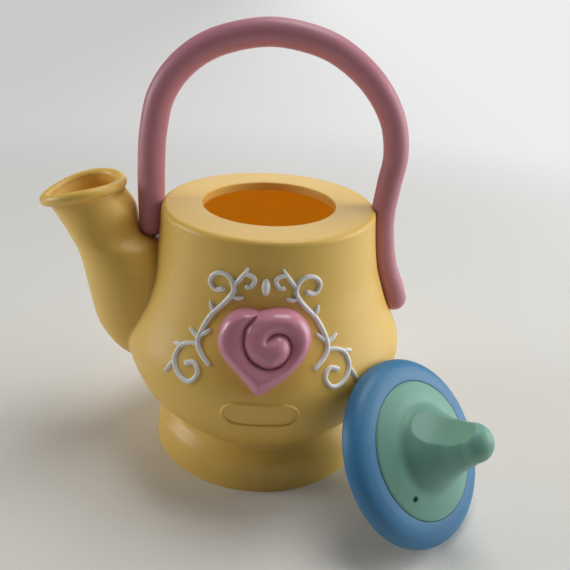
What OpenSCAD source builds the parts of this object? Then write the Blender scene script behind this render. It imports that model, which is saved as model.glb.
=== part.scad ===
// Toy teapot: a two-shell plastic pot with a fixed arch handle, a heart on its front and a loose lid.
// The lid lies as a child leaves it, standing on its edge against the belly.
// The origin is the middle of the foot on the table, the spout points to -X and the heart faces -Y.

/* [Pot] */
// Height of the pot, from the table to the deck round its opening
pot_h = 121.6; // [110:0.1:135]
// Widest diameter, at the belly
belly_d = 130.8; // [120:0.1:142]
// Diameter of the neck between the belly and the foot
neck_d = 93; // [88:1:98]
// Height of the neck above the table
neck_h = 21; // [19:0.5:23]
// Diameter of the foot on the table
foot_d = 107; // [102:1:112]
// Diameter of the opening in the deck
opening_d = 60; // [56:1:64]
// Depth of the lip that hangs round the opening
lip_h = 4; // [3:0.5:6]
// Rounding of the deck's outer edge
shoulder_r = 2.5; // [1.5:0.5:3]
// Thickness of the moulded walls
wall = 2.4; // [2:0.2:3]

/* [Spout] */
// Distance from the pot's middle to the middle of the spout's mouth
spout_reach = 83.3; // [80:0.1:90]
// Height of the middle of the mouth
spout_h = 123.4; // [118:0.1:128]
// Radius of the tube at the mouth
spout_r = 17.3; // [15:0.1:19]
// Slope of the mouth, which dips to its pouring side, in degrees
mouth_tilt = 13; // [6:1:18]
// Radius of the rolled rim
rim_r = 2.4; // [2:0.1:2.8]
// Rise of the rim's two sides above its front and back
rim_rise = 2; // [0:0.5:4]

/* [Handle] */
// Diameter of the grip
handle_d = 11.6; // [10.6:0.2:12.6]
// Rise of the grip's middle line above the deck
handle_rise = 72; // [64:1:80]
// Depth to which the handle's legs nest in the pot's side
nest = 1.6; // [1:0.2:2]
// Diameter of the pegs that lock the handle between the shells
peg_d = 4; // [3:0.5:5]

/* [Heart and scrolls] */
// Width of the heart
heart_w = 37.4; // [34:0.2:42]
// Height of the heart
heart_h = 33.4; // [30:0.2:36]
// Height of the middle of the heart above the table
heart_z = 78.3; // [76:0.1:81]
// Height of the heart off the pot's side
heart_bulge = 7.8; // [6:0.2:9]
// Rounding of the heart's edge and of its groove
heart_edge_r = 5.5; // [4.5:0.1:6]
// Reach of the scrolls to each side of the front's middle line
scroll_w = 40; // [36:1:44]
// Height of the scrolls
scroll_h = 50; // [46:1:54]
// Height of the lowest line of the scrolls above the table
scroll_z = 60; // [57:0.5:63]
// Width of a scroll's bead
bead_w = 2; // [1.4:0.1:2.4]
// Height of a scroll's bead
bead_h = 1.2; // [0.8:0.1:1.6]

/* [Lid] */
// Diameter of the lid
lid_d = 80; // [76:0.2:84]
// Diameter of the knob's foot, let into the lid
knob_foot_d = 58.2; // [56:0.2:61]
// Height of the knob's foot above the lid's widest line
knob_foot_h = 7.6; // [7:0.1:9]
// Height of the knob's tip above the lid's widest line
knob_h = 40.8; // [38:0.2:46]
// Diameter of the knob's round end
knob_d = 16.2; // [15:0.2:18]
// Distance from the knob's middle line to the deepest line of its finger scoop
scoop_out = 6.1; // [5:0.1:7]
// Depth of the collar that drops into the opening
collar_h = 4.2; // [3:0.2:4.6]
// Diameter of the steam hole in the knob's foot
steam_d = 2.4; // [1.6:0.2:3]
// Lean of the lid's middle line from level, in degrees
lid_lean = 36.8; // [34:0.2:42]
// Direction in which the lid lies, in degrees from the handle's side
lid_side = -42.4; // [-50:0.2:-36]

/* [Screws] */
// Diameter of the screws
screw_d = 3; // [2.6:0.1:3.4]
// Length of the screws under the head
screw_l = 16; // [14:1:18]

/* [Hidden] */
$fn = 64;

// Running clearance round pegs and screws, and the gap at which curved pieces stay apart
clear = 0.1;
rest_gap = 0.3;
// Overrun of every cut
over = 1;
// Steps between two hand-set points of a curve
fine = 3;
coarse = 2;

belly_r = belly_d / 2;
neck_r = neck_d / 2;
foot_r = foot_d / 2;
opening_r = opening_d / 2;
deck_under_z = pot_h - wall;
lip_r = opening_r + wall;
floor_low_z = neck_h - wall / 2;
floor_z = neck_h + wall / 2;

// Curves

// Value between b and c at t on the smooth curve a, b, c, d
function blend(a, b, c, d, t) =
    b + t / 2 * (c - a) + t * t / 2 * (2 * a - 5 * b + 4 * c - d) + t * t * t / 2 * (3 * b - a - 3 * c + d);

// Smooth curve through p, with n steps from each point to the next
function smooth(p, n) = let(m = len(p) - 1) [
    for (i = [0:m - 1], k = [0:n - 1])
        blend(i > 0 ? p[i - 1] : 2 * p[0] - p[1], p[i], p[i + 1],
              i < m - 1 ? p[i + 2] : 2 * p[m] - p[m - 1], k / n),
    p[m]
];

function unit(v) = v / norm(v);

// Line p moved by t to its left, in its own plane
function beside(p, t) = [
    for (i = [0:len(p) - 1])
        let(d = unit(p[min(i + 1, len(p) - 1)] - p[max(i - 1, 0)])) p[i] + t * [-d[1], d[0]]
];

function middle(p) = [for (k = [0:len(p[0]) - 1]) [for (q = p) q[k]] * [for (q = p) 1] / len(p)];

// Closed solid over rings of points, each ring with as many points as the next
module skin(rings) {
    n = len(rings[0]);
    m = len(rings);
    low = n * m;
    polyhedron(
        points = concat([for (q = rings) each q], [middle(rings[0]), middle(rings[m - 1])]),
        faces = concat(
            [for (k = [0:n - 1]) [low, k, (k + 1) % n]],
            [for (k = [0:n - 1]) [low + 1, low - n + (k + 1) % n, low - n + k]],
            [for (i = [0:m - 2], k = [0:n - 1]) [i * n + k, (i + 1) * n + k, i * n + (k + 1) % n]],
            [for (i = [0:m - 2], k = [0:n - 1])
                [(i + 1) * n + k, (i + 1) * n + (k + 1) % n, i * n + (k + 1) % n]]));
}

// Direction of a line of points at its point i
function heading(p, i) = unit(p[min(i + 1, len(p) - 1)] - p[max(i - 1, 0)]);

// Pot outline

// Belly and side from the neck to the shoulder: radius as a share of the belly's, height of the pot's
belly_share = [[0.781, 0.214], [0.885, 0.280], [0.945, 0.345], [0.986, 0.411], [1, 0.461], [0.986, 0.510],
               [0.928, 0.576], [0.873, 0.641], [0.829, 0.707], [0.790, 0.773], [0.768, 0.839],
               [0.752, 0.905]];
// Radius of the side where the shoulder starts, as a share of the belly's
shoulder_share = 0.739;
side_r = shoulder_share * belly_r;
// Foot from the table to the neck: radius as a share of the foot's, height of the neck's
foot_share = [[1, 0], [0.985, 0.25], [0.974, 0.5], [0.955, 0.64], [0.912, 0.76], [0.876, 0.88]];

foot_line = concat([for (q = foot_share) [q[0] * foot_r, q[1] * neck_h]], [[neck_r, neck_h]]);
shoulder_line = [for (a = [22.5:22.5:90])
    [side_r - shoulder_r * (1 - cos(a)), pot_h - shoulder_r * (1 - sin(a))]];
belly_line = smooth(concat([[neck_r, neck_h]], [for (q = belly_share) [q[0] * belly_r, q[1] * pot_h]],
                           [[side_r, pot_h - shoulder_r]]), fine);
belly_inner = [for (q = beside(belly_line, wall)) if (q[1] > floor_z && q[1] < deck_under_z) q];
pot_line = concat(foot_line, [for (i = [1:len(belly_line) - 1]) belly_line[i]], shoulder_line);
foot_inner = [for (q = beside(foot_line, wall)) if (q[1] > 0 && q[1] < floor_low_z) q];

// Radius of the pot's side at height z
function side_at(z) = lookup(z, [for (q = belly_line) [q[1], q[0]]]);

// Point over the front, at distance s to the side of its middle line, height z and h out from the side
function on_side(s, z, h) =
    let(r = side_at(z), slope = (side_at(z + wall) - side_at(z - wall)) / (2 * wall),
        out = 1 / sqrt(1 + slope * slope), a = s / r * 180 / PI)
    [(r + h * out) * sin(a), -(r + h * out) * cos(a), z - h * out * slope];

// Whole pot without its hollow
module pot_form(grow = 0) {
    rotate_extrude()
        polygon(concat([[0, 0]], grow > 0 ? beside(pot_line, -grow) : pot_line, [[0, pot_h + grow]]));
}

module pot_hollow() {
    rotate_extrude()
        polygon(concat([[0, floor_z], [belly_inner[0][0], floor_z]], belly_inner,
                       [[side_r - wall, deck_under_z], [lip_r, deck_under_z], [lip_r, pot_h - lip_h],
                        [0, pot_h - lip_h]]));
    translate([0, 0, pot_h - lip_h - over])
        cylinder(r = opening_r, h = lip_h + 2 * over);
}

module foot_hollow() {
    rotate_extrude()
        polygon(concat([[0, -over], [foot_r - wall, -over]], foot_inner,
                       [[neck_r - wall, floor_low_z], [0, floor_low_z]]));
}

// Spout

// Rings of the spout from its root to its mouth, as shares: way out from the root to the reach,
// way up from the root to the mouth, tilt, half width along X and along Y of the tube's radius,
// rise of the sides, and lift of the hollow's floor of the wall
spout_share = [[0, 0, 0, 0.23, 0.23, 0, 1], [0, 0.015, 0, 0.58, 0.64, 0, 1],
               [0, 0.056, 0, 0.84, 0.90, 0, 0.9], [0, 0.132, 0, 1.11, 1.16, 0, 0.6],
               [0.04, 0.234, 0, 1.30, 1.30, 0, 0.3], [0.095, 0.328, 0, 1.32, 1.30, 0, 0.1],
               [0.15, 0.454, 0, 1.33, 1.32, 0, 0], [0.21, 0.583, 0, 1.33, 1.30, 0, 0],
               [0.328, 0.650, 0.12, 1.218, 1.23, 0, 0], [0.42, 0.705, 0.23, 1.15, 1.18, 0, 0],
               [0.495, 0.728, 0.27, 1.072, 1.16, 0, 0], [0.633, 0.762, 0.35, 0.928, 1.13, 0, 0],
               [0.697, 0.805, 0.46, 0.921, 1.09, 0, 0], [0.785, 0.887, 0.77, 0.99, 1.04, 0.3, 0],
               [0.94, 0.966, 1, 0.96, 1.01, 0.8, 0], [1, 1, 1, 0.99, 1.03, 1, 0]];
// Place of the root, as shares of the belly's radius and of the pot's height
spout_root_share = [0.872, 0.354];
spout_sides = 28;

spout_rings = [for (q = smooth(spout_share, coarse))
    let(x = spout_root_share[0] * belly_r, z = spout_root_share[1] * pot_h)
    [x + q[0] * (spout_reach - x), z + q[1] * (spout_h - z), q[2] * mouth_tilt, q[3] * spout_r,
     q[4] * spout_r, q[5] * rim_rise, q[6] * wall]];

// Point at angle a of an oval ring q, at half widths u and v, raised by w at its two sides
function oval_point(q, a, u, v, w) =
    let(x = u * cos(a), rise = w * sin(a) * sin(a))
    [-q[0] + x * cos(q[2]) - rise * sin(q[2]), v * sin(a), q[1] + x * sin(q[2]) + rise * cos(q[2])];

function oval(q, inset) = [for (k = [0:spout_sides - 1])
    oval_point(q, 360 * (k + 0.5) / spout_sides, q[3] - inset, q[4] - inset, q[5])];

module spout_form() {
    skin([for (q = spout_rings) oval(q, 0)]);
}

module spout_hollow() {
    raised = [for (q = spout_rings) [q[0], q[1] + q[6], q[2], q[3], q[4], q[5], q[6]]];
    top = raised[len(raised) - 1];
    past = [top[0] + 2 * rim_r * sin(top[2]), top[1] + 2 * rim_r * cos(top[2]), top[2], top[3], top[4],
            top[5], 0];
    skin([for (q = concat(raised, [past])) oval(q, wall)]);
}

// Rolled rim, a round bead along the mouth
module spout_rim() {
    bead_sides = 10;
    mouth = spout_rings[len(spout_rings) - 1];
    function round_at(a) =
        let(p = oval_point(mouth, a, mouth[3], mouth[4], mouth[5]),
            d = unit(oval_point(mouth, a + 1, mouth[3], mouth[4], mouth[5]) - p),
            u = [-sin(mouth_tilt), 0, cos(mouth_tilt)], e = unit(cross(d, u)), g = cross(e, d))
        [for (k = [0:bead_sides - 1])
            p + rim_r * (cos(360 * k / bead_sides) * e + sin(360 * k / bead_sides) * g)];
    rings = [for (i = [0:spout_sides - 1]) round_at(360 * (i + 0.5) / spout_sides)];
    m = spout_sides;
    n = bead_sides;
    polyhedron(
        points = [for (q = rings) each q],
        faces = concat(
            [for (i = [0:m - 1], k = [0:n - 1]) [i * n + k, i * n + (k + 1) % n, (i + 1) % m * n + k]],
            [for (i = [0:m - 1], k = [0:n - 1])
                [i * n + (k + 1) % n, (i + 1) % m * n + (k + 1) % n, (i + 1) % m * n + k]]));
}

// Handle

handle_r = handle_d / 2;
leg_r = side_r + handle_r - nest;
handle_sides = 16;
// End of the left leg, in the crotch between spout and pot: distance from the middle as a share of
// the legs', height of the pot's, and radius of the grip's
left_share = [[-1.018, 0.894, 0.98]];
// Arch, as shares of the legs' distance, of the rise above the deck and of the grip's radius
arch_share = [[-1.011, 0.006, 1.03], [-1.002, 0.2, 1.03], [-0.975, 0.415, 1.02], [-0.899, 0.631, 1.01],
              [-0.724, 0.808, 1], [-0.467, 0.933, 1], [-0.114, 1, 1], [0.190, 0.990, 1],
              [0.495, 0.919, 0.99], [0.781, 0.762, 0.98], [0.971, 0.561, 0.96], [1.040, 0.346, 0.95],
              [1.013, 0.144, 0.94]];
// Right leg down the pot's side to its flared tail, in the same shares as the left end
tail_share = [[0.992, 0.970, 0.94], [1.015, 0.863, 0.94], [1.070, 0.757, 0.95], [1.147, 0.674, 0.98],
              [1.181, 0.625, 1.02]];

function handle_place(q) = [q[0] * leg_r, 0, q[1] * pot_h, q[2] * handle_r];
handle_points = concat(
    [for (q = left_share) handle_place(q)],
    [for (q = arch_share) [q[0] * leg_r, 0, pot_h + q[1] * handle_rise, q[2] * handle_r]],
    [for (q = tail_share) handle_place(q)]);
handle_line = smooth(handle_points, fine);

// Line of points with a radius each, with three more at either end that round it off
function round_ended(p) =
    let(m = len(p) - 1, a = heading([for (q = p) [q[0], q[1], q[2]]], 0),
        b = heading([for (q = p) [q[0], q[1], q[2]]], m))
    concat(
        [for (t = [85, 60, 30]) concat([for (k = [0:2]) p[0][k] - p[0][3] * sin(t) * a[k]], p[0][3] * cos(t))],
        p,
        [for (t = [30, 60, 85]) concat([for (k = [0:2]) p[m][k] + p[m][3] * sin(t) * b[k]], p[m][3] * cos(t))]);

// Round bar along points in the plane y = 0, grown by g
module bar(p, g = 0) {
    q = round_ended([for (v = p) [v[0], v[1], v[2], v[3] + g]]);
    line = [for (v = q) [v[0], v[1], v[2]]];
    skin([for (i = [0:len(q) - 1])
        let(d = heading(line, i), e = [d[2], 0, -d[0]])
        [for (k = [0:handle_sides - 1])
            let(a = 360 * (k + 0.5) / handle_sides) line[i] + q[i][3] * (cos(a) * e + sin(a) * [0, 1, 0])]]);
}

// Parts of the handle's line that lie in the pot's side
left_end = [for (i = [0:2 * fine]) handle_line[i]];
right_end = [for (i = [len(handle_line) - 5 * fine:len(handle_line) - 1]) handle_line[i]];

// Pegs: heights of the right leg's two and the left end's one, as shares of the pot's height
right_peg_share = [0.895, 0.72];
left_peg_share = 0.895;
peg_head_d = 1.5 * peg_d;
peg_head_h = peg_d / 2;

// Middle line of the right leg at height z
function leg_at(z) = lookup(z, [for (q = right_end) [q[2], q[0]]]);

// Peg from x towards the pot's middle, which ends in a head behind the socket's wall
module handle_peg(x, z, grow) {
    start = abs(x);
    seat = start - handle_r - wall - clear;
    translate([sign(x) * start, 0, z])
        rotate([0, -90 * sign(x), 0]) {
            cylinder(r = peg_d / 2 + grow, h = start - seat + grow);
            translate([0, 0, start - seat - grow])
                cylinder(r = peg_head_d / 2 + grow, h = peg_head_h + 2 * grow);
        }
}

module handle_pegs(grow = 0) {
    for (share = right_peg_share)
        handle_peg(leg_at(share * pot_h), share * pot_h, grow);
    handle_peg(left_share[0][0] * leg_r, left_peg_share * pot_h, grow);
}

// Screws that hold the shells together, driven in from the rear

screw_r = screw_d / 2;
head_r = 0.95 * screw_d;
head_h = 0.7 * screw_d;
boss_r = 1.5 * screw_d;
// Depth behind the seam at which a screw's head seats
seat_y = 2 * screw_d;
// Upper screws under the deck, just outside the lip; lower ones in the foot, as a share of its inside
upper_x = lip_r + boss_r - wall / 2;
upper_z = deck_under_z - boss_r - wall / 2;
lower_x_share = 0.86;
lower_x = lower_x_share * (foot_r - wall);
lower_z = 0.44 * neck_h;
screw_places = [[-upper_x, upper_z], [upper_x, upper_z], [-lower_x, lower_z], [lower_x, lower_z]];

module screw_bosses() {
    for (p = screw_places)
        translate([p[0], 0, p[1]])
            rotate([90, 0, 0])
                cylinder(r = boss_r, h = belly_d, center = true);
    // Webs that carry the upper bosses on the deck
    for (x = [-upper_x, upper_x])
        translate([x - wall / 2, -seat_y - screw_l + wall, upper_z])
            cube([wall, 2 * (seat_y + screw_l - wall), deck_under_z - upper_z + wall / 2]);
}

module screw_holes() {
    for (p = screw_places)
        translate([p[0], 0, p[1]])
            rotate([-90, 0, 0]) {
                translate([0, 0, seat_y])
                    cylinder(r = head_r + 2 * clear, h = belly_r);
                translate([0, 0, seat_y - screw_l - over])
                    cylinder(r = screw_r + clear / 2, h = screw_l + 2 * over);
            }
}

// Heart: a puffy heart with one groove, which winds in from its notch and ends beside a round bud

// Outline from the notch down the left to the tip, and up the right to the notch: place across as a
// share of the heart's half width, and up as a share of its height from its middle
heart_left_share = [[-0.096, 0.452], [-0.20, 0.467], [-0.45, 0.470], [-0.67, 0.416], [-0.84, 0.320],
                    [-0.945, 0.195], [-0.97, 0.066], [-0.93, -0.054], [-0.80, -0.159], [-0.505, -0.302],
                    [-0.22, -0.446], [-0.10, -0.503]];
heart_right_share = [[-0.05, -0.505], [0.155, -0.452], [0.41, -0.362], [0.665, -0.260], [0.865, -0.144],
                     [1, -0.015], [1.035, 0.123], [0.985, 0.254], [0.83, 0.383], [0.575, 0.476],
                     [0.285, 0.497], [0.025, 0.473], [-0.096, 0.452]];
// Groove from the notch round the bud, in the same shares
groove_share = [[-0.096, 0.452], [-0.20, 0.370], [-0.34, 0.263], [-0.385, 0.135], [-0.36, 0.012],
                [-0.245, -0.099], [-0.06, -0.171], [0.15, -0.198], [0.365, -0.162], [0.525, -0.069],
                [0.565, 0.054], [0.465, 0.174], [0.28, 0.210], [0.12, 0.162], [0.035, 0.081]];
// What is left of the heart's height in the groove
groove_floor_share = 0.45;
heart_rings = 18;
// Places of the two pegs
heart_peg_share = [-0.5, 0.5];

function heart_size(p) = [for (q = p) [q[0] * heart_w / 2, q[1] * heart_h]];
right_lobe = smooth(heart_right_share, fine);
heart_outline = heart_size(concat(smooth(heart_left_share, fine),
                                  [for (i = [0:len(right_lobe) - 2]) right_lobe[i]]));
heart_groove = heart_size(smooth(groove_share, coarse));

// Distance of point p from the line from a to b, and from a line of many points
function off_segment(p, a, b) =
    let(d = b - a, t = (p - a) * d / (d * d)) norm(p - a - min(max(t, 0), 1) * d);
function off_line(p, line) = min([for (i = [0:len(line) - 2]) off_segment(p, line[i], line[i + 1])]);

// Rises from 0 to 1: the first starts upright, as a round edge, and the second at a slope
function quarter(t) = t < 1 ? sqrt(1 - (1 - t) * (1 - t)) : 1;
function ramp(t) = t < 1 ? t * (2 - t) : 1;

// Height of the heart over point p, which lies the share t of the way in from the outline
function heart_height(p, t) = let(
    edge = t > 0 ? off_line(p, concat(heart_outline, [heart_outline[0]])) : 0,
    groove = off_line(p, heart_groove))
    heart_bulge * min(quarter(edge / heart_edge_r),
                      groove_floor_share + (1 - groove_floor_share) * ramp(groove / heart_edge_r));

module heart_form() {
    back = [for (p = heart_outline) on_side(p[0], heart_z + p[1], -wall / 2)];
    tops = [for (i = [0:heart_rings - 1]) let(t = pow(i / heart_rings, 1.5))
        [for (q = heart_outline) let(p = (1 - t) * q) on_side(p[0], heart_z + p[1], heart_height(p, t))]];
    skin(concat([back], tops));
}

module heart_pegs(grow = 0) {
    for (share = heart_peg_share) {
        x = share * heart_w / 2;
        y = sqrt(side_at(heart_z) * side_at(heart_z) - x * x);
        translate([x, -y - rest_gap, heart_z])
            rotate([-90, 0, 0]) {
                cylinder(r = peg_d / 2 + grow, h = 2 * wall + rest_gap + grow);
                translate([0, 0, 1.3 * wall + rest_gap - grow])
                    cylinder(r = peg_d * 0.8 + grow, h = peg_d / 3 + 2 * grow);
            }
    }
}

// Beads of the scrolls

// Strands of the right scroll: place across as a share of the reach, up as a share of the height, and
// width as a share of the bead's
stem_share = [[0.433, 0.808, 1.2], [0.515, 0.790, 1], [0.568, 0.836, 1], [0.560, 0.888, 1],
              [0.505, 0.926, 1], [0.425, 0.938, 1], [0.355, 0.910, 1], [0.323, 0.860, 1.05],
              [0.315, 0.812, 1.15], [0.350, 0.754, 1.2], [0.433, 0.676, 1.15], [0.538, 0.592, 1.15],
              [0.625, 0.488, 1.2], [0.680, 0.396, 1.2], [0.693, 0.330, 1.15], [0.650, 0.266, 1.1],
              [0.560, 0.204, 1]];
lower_curl_share = [[0.690, 0.330, 0.9], [0.803, 0.314, 1], [0.905, 0.274, 1.05], [0.970, 0.196, 1.05],
                    [0.975, 0.132, 1.05], [0.925, 0.072, 1.05], [0.838, 0.038, 1.05], [0.758, 0.044, 1],
                    [0.685, 0.104, 1], [0.690, 0.156, 1], [0.738, 0.186, 1], [0.818, 0.164, 1.25]];
bud_share = [[0.318, 0.850, 0.9], [0.245, 0.920, 1], [0.175, 1.004, 0.6]];
small_curl_share = [[0.215, 0.955, 0.8], [0.175, 0.957, 1], [0.122, 0.938, 1], [0.105, 0.904, 1],
                    [0.135, 0.862, 1], [0.175, 0.854, 1.15]];
leaf_share = [
    [[0.325, 0.760, 0.9], [0.270, 0.752, 1], [0.228, 0.762, 0.8]],
    [[0.520, 0.605, 0.9], [0.545, 0.640, 1], [0.560, 0.674, 0.8]],
    [[0.690, 0.375, 0.9], [0.745, 0.400, 1], [0.788, 0.424, 0.8]],
    [[0.665, 0.400, 0.9], [0.610, 0.430, 1], [0.565, 0.458, 0.8]],
    [[0.890, 0.278, 0.9], [0.945, 0.278, 1], [0.995, 0.268, 0.8]],
    [[0.975, 0.155, 0.9], [1.035, 0.100, 1], [1.090, 0.048, 0.8]]];
strands = concat([stem_share, lower_curl_share, bud_share, small_curl_share], leaf_share);
// Drop over the heart: height from the scrolls' lowest line and width, in the same shares
drop_share = [[0.008, 0.935, 0.5], [0.008, 0.900, 1.6], [0.008, 0.860, 1.9], [0.008, 0.820, 1.6],
              [0.008, 0.785, 0.5]];
// Section of a bead: half across and up, as shares of its width and height
section_share = [[-0.5, 0], [-0.43, 0.6], [-0.2, 0.94], [0.2, 0.94], [0.43, 0.6], [0.5, 0]];

// Bead over the side along points of place, height and width
module bead(p, low) {
    path = [for (q = p) on_side(q[0] * scroll_w, scroll_z + q[1] * scroll_h, 0)];
    m = len(p) - 1;
    skin([for (i = [-1:m + 1])
        let(j = min(max(i, 0), m), end = i < 0 ? -1 : i > m ? 1 : 0, w = p[j][2] * (end == 0 ? 1 : 0.5),
            d = heading(path, j), at = path[j] + end * bead_w / 3 * d,
            n = unit(on_side(p[j][0] * scroll_w, scroll_z + p[j][1] * scroll_h, wall) - path[j]),
            e = unit(cross(d, n)))
        [for (s = section_share)
            at + s[0] * w * bead_w * e + (low + s[1] * bead_h * (0.5 + 0.5 * min(w, 1.4))) * n]]);
}

module scroll() {
    for (p = strands)
        bead(smooth(p, coarse), clear);
}

// Bare plate under the heart

// Plate: half width and height, as shares of the scrolls' reach and height, and height of its middle
plate_w_share = 0.40;
plate_h_share = 0.12;
plate_z_share = 0.417;
plate_bead_share = 0.8;

module plate_outline() {
    n = 8;
    r = plate_h_share * scroll_h;
    half = plate_w_share * scroll_w - r;
    flat = [for (t = [-1:0.25:1]) [t * half, -r]];
    turn = [for (k = [1:n - 1]) [half + r * sin(180 * k / n), -r * cos(180 * k / n)]];
    ring = concat(flat, turn, [for (q = flat) -q], [for (q = turn) -q]);
    m = len(ring);
    k = len(section_share);
    points = [for (i = [0:m - 1])
        let(z = plate_z_share * pot_h, c = ring[i], b = ring[(i + 1) % m], a = ring[(i + m - 1) % m],
            at = on_side(c[0], z + c[1], 0), n = unit(on_side(c[0], z + c[1], wall) - at),
            d = unit(on_side(b[0], z + b[1], 0) - on_side(a[0], z + a[1], 0)), e = unit(cross(d, n)))
        for (s = section_share)
            at + plate_bead_share * (s[0] * bead_w * e + (s[1] * bead_h - wall / 4) * n)];
    polyhedron(
        points = points,
        faces = concat(
            [for (i = [0:m - 1], j = [0:k - 1]) [i * k + j, i * k + (j + 1) % k, (i + 1) % m * k + j]],
            [for (i = [0:m - 1], j = [0:k - 1])
                [i * k + (j + 1) % k, (i + 1) % m * k + (j + 1) % k, (i + 1) % m * k + j]]));
}

// Shells

// Half of the space, side -1 in front of the seam and 1 behind it
module half(side) {
    translate([-2 * belly_d, side > 0 ? 0 : -2 * belly_d, -2 * over])
        cube([4 * belly_d, 2 * belly_d, 2 * pot_h]);
}

// Walls that grip the handle's ends
module handle_sockets() {
    bar(left_end, wall);
    bar(right_end, wall);
}

module hollows() {
    difference() {
        union() {
            pot_hollow();
            foot_hollow();
            spout_hollow();
        }
        screw_bosses();
        handle_sockets();
    }
}

// Half of the pot with its hollows, whole or drilled
module half_pot(side) {
    intersection() {
        difference() {
            union() {
                pot_form();
                spout_form();
                spout_rim();
            }
            hollows();
        }
        half(side);
    }
}

module shell(side) {
    difference() {
        difference() {
            half_pot(side);
            bar(left_end, clear);
            bar(right_end, clear);
        }
        handle_pegs(clear);
        screw_holes();
        if (side < 0) heart_pegs(clear);
    }
}

module front_shell() {
    color("#e3c87f") {
        shell(-1);
        plate_outline();
    }
}

module rear_shell() {
    color("#e3c87f")
        shell(1);
}

module handle() {
    color("#a86f78") {
        bar(handle_line);
        handle_pegs();
    }
}

module heart() {
    color("#b0668a")
        difference() {
            union() {
                heart_form();
                heart_pegs();
            }
            difference() {
                pot_form(clear, $fn = 180);
                heart_pegs();
            }
        }
}

module scroll_right() {
    color("#eeeef0")
        scroll();
}

module scroll_left() {
    color("#eeeef0")
        mirror([1, 0, 0])
            scroll();
}

module scroll_drop() {
    color("#eeeef0")
        bead(drop_share, clear);
}

// Screw with a pan head and a crossed recess, head at the origin and point along -Z
module screw(l) {
    slot_w = screw_d / 5;
    difference() {
        union() {
            translate([0, 0, -l])
                cylinder(r1 = screw_r / 3, r2 = screw_r, h = screw_d);
            translate([0, 0, screw_d - l])
                cylinder(r = screw_r, h = l - screw_d);
            cylinder(r = head_r, h = head_h * 0.6);
            translate([0, 0, head_h * 0.6])
                cylinder(r1 = head_r, r2 = head_r * 0.7, h = head_h * 0.4);
        }
        for (a = [0, 90])
            rotate([0, 0, a])
                translate([-head_r * 0.6, -slot_w / 2, head_h / 2])
                    cube([head_r * 1.2, slot_w, head_h]);
    }
}

module shell_screws() {
    color("#b9bcc0")
        for (p = screw_places)
            translate([p[0], seat_y, p[1]])
                rotate([-90, 0, 0])
                    screw(screw_l);
}

// Lid

lid_r = lid_d / 2;
knob_foot_r = knob_foot_d / 2;
knob_r = knob_d / 2;
lid_edge_r = 1.5;
// Web across the lid that carries the knob
web_z = knob_foot_h - wall;
collar_r = opening_r - 2 * rest_gap;
knob_screw_l = 12;
// Roll of the lid from its edge to the knob's foot: shares of the way in and of the way up
roll_share = [[0, 0], [0.03, 0.28], [0.14, 0.58], [0.34, 0.81], [0.6, 0.94], [0.8, 0.985], [1, 1]];

roll_line = [for (q = roll_share)
    [lid_r + q[0] * (knob_foot_r + clear - lid_r), q[1] * knob_foot_h]];

// Place of the leaning lid: its edge stands on the table and rests against the belly
lid_ring_r = lid_r - lid_edge_r;
lid_z = lid_ring_r * cos(lid_lean) + lid_edge_r;
top_z = lid_z + lid_ring_r * cos(lid_lean);
lid_out = max([for (q = belly_line)
    let(reach = lid_edge_r + rest_gap, dz = q[1] - top_z)
    abs(dz) < reach ? q[0] + sqrt(reach * reach - dz * dz) : 0]) + lid_ring_r * sin(lid_lean);

module lid_place() {
    translate([lid_out * cos(lid_side), lid_out * sin(lid_side), lid_z])
        rotate([0, 90 - lid_lean, lid_side])
            children();
}

module lid_disc() {
    color("#4a7fb5")
        lid_place()
            difference() {
                rotate_extrude()
                    polygon(concat(
                        [[0, web_z - wall], [collar_r - wall, web_z - wall],
                         [collar_r - wall, -lid_edge_r - collar_h], [collar_r, -lid_edge_r - collar_h],
                         [collar_r, -lid_edge_r], [lid_ring_r, -lid_edge_r],
                         [lid_r - lid_edge_r * (1 - sin(45)), -lid_edge_r * sin(45)]],
                        roll_line,
                        [[knob_foot_r + clear, web_z], [0, web_z]]));
                // Groove under the roll, which keeps its wall even
                rotate_extrude()
                    polygon([[collar_r + wall, -lid_edge_r - over], [lid_ring_r - wall, -lid_edge_r - over],
                             [lid_ring_r - wall, 0], [lid_ring_r - 2 * wall, web_z - wall / 2],
                             [collar_r + wall, web_z - wall / 2]]);
                translate([0, 0, web_z - wall - over])
                    cylinder(r = screw_r + clear, h = wall + 2 * over);
            }
}

// Knob outline above its foot: radius as a share of the foot's, height of the way to the ball's middle
knob_share = [[0.93, 0.035], [0.80, 0.095], [0.69, 0.135], [0.64, 0.165], [0.605, 0.215], [0.567, 0.295],
              [0.50, 0.414], [0.44, 0.534], [0.381, 0.653], [0.347, 0.773], [0.32, 0.88]];
// Place of the steam hole: distance from the middle as a share of the foot's radius, and its direction
steam_share = 0.80;
steam_turn = -58;
// Direction of the finger scoop, radius of its long sweep up to its deepest line and of the short one
// past it, and height of that line
scoop_turn = 25;
scoop_r = 3.35 * knob_r;
scoop_end_r = 0.83 * knob_r;
scoop_z = 0.883 * knob_h;

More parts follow.
